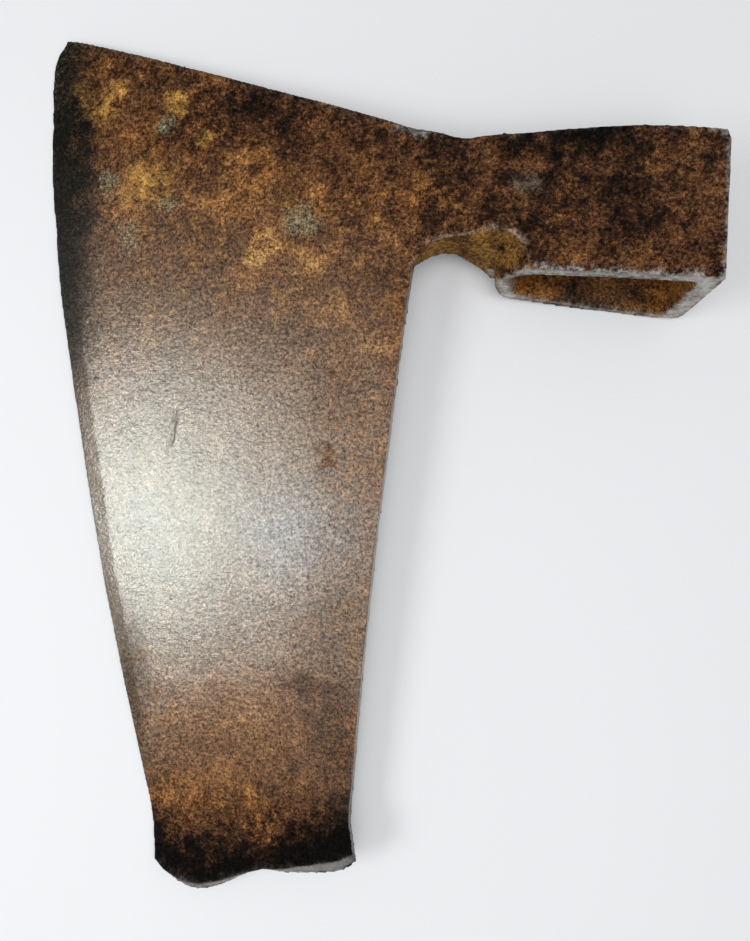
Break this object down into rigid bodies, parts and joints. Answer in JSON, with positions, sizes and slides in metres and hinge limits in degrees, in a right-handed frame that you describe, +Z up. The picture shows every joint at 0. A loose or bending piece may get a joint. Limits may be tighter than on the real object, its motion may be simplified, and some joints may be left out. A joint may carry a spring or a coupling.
{
  "type": "goosewing axe head",
  "caption": "Forged iron hewing axe head with a long wing-shaped blade, one flat side and a slanted socket for a wooden haft, worn and rusted.",
  "frame": {"origin": "middle of the underside of the head's box, on the surface that the head lies on", "axes": "+Z up from the surface, with the flat side of the blade up; +Y along the cutting edge from the heel to the horn; +X from the cutting edge to the poll"},
  "size_m": [0.2528, 0.3376, 0.0452],
  "materials": {
    "forged_iron": "forged iron with brown and orange rust, pitted, rubbed dull grey where it was handled"
  },
  "bodies": {
    "root": {"axe_head": "forged_iron"}
  },
  "joints": []
}
